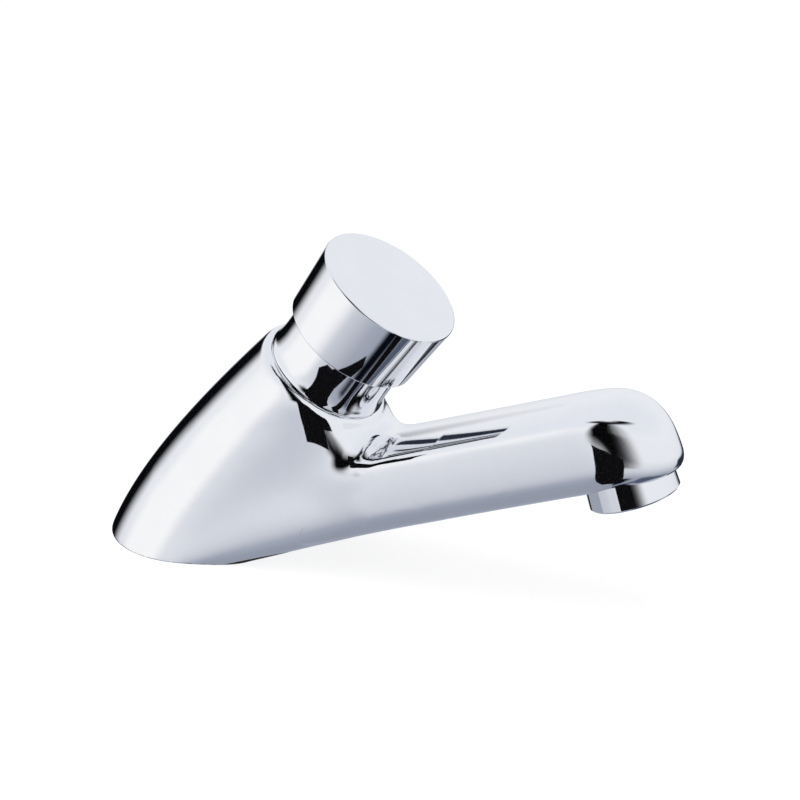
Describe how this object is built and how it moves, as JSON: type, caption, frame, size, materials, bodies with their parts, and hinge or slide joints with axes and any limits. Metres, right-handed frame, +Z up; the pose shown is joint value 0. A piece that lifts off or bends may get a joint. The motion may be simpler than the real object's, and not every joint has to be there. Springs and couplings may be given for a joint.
{
  "type": "self-closing basin tap",
  "caption": "Deck-mounted push tap with a leaning round barrel, straight rising spout and aerator; a push button opens a timed, spring-closed valve.",
  "frame": {"origin": "centre of the round foot, on the face that rests on the deck", "axes": "+Z up, square to the deck; +X towards the outlet, along the spout seen from above"},
  "size_m": [0.1663, 0.0534, 0.141],
  "materials": {
    "chrome_plate": "polished bright chrome plate on brass",
    "brass": "machined, unplated",
    "stainless_steel": "turned or drawn stainless steel",
    "rubber": "moulded black rubber",
    "acetal": "moulded natural acetal"
  },
  "bodies": {
    "root": {"aerator_core": "acetal", "aerator_housing": "chrome_plate", "aerator_screens": "stainless_steel", "aerator_washer": "rubber", "back_nut": "brass", "base_gasket": "rubber", "body": "chrome_plate", "bonnet": "chrome_plate", "bonnet_o_ring": "rubber", "cartridge_cap": "acetal", "cartridge_o_rings": "rubber", "cartridge_sleeve": "brass", "clamp_washer": "stainless_steel", "deck_washer": "rubber", "flow_limiter": "acetal", "flow_regulator": "rubber", "inlet_strainer": "stainless_steel", "return_spring": "stainless_steel", "rod_seal": "rubber", "screen_spacer": "acetal", "seat_gasket": "rubber", "shank": "brass", "shank_o_ring": "rubber", "timing_pin": "stainless_steel", "valve_seat": "brass"},
    "button": {"push_button": "chrome_plate", "button_lock_nut": "stainless_steel", "push_rod": "stainless_steel", "piston_cup": "rubber", "piston": "brass", "spring_plate": "stainless_steel", "piston_clip": "stainless_steel", "valve_washer": "rubber", "valve_disc": "brass", "valve_nut": "stainless_steel"}
  },
  "joints": [
    {"name": "button_push", "type": "slide", "parent": "root", "child": "button", "axis": [-0.5807, 0, -0.8141], "range_m": [0, 0.006], "stiffness_N_per_m": 2500, "springref_m": -0.006, "deforming": ["return_spring"]}
  ]
}
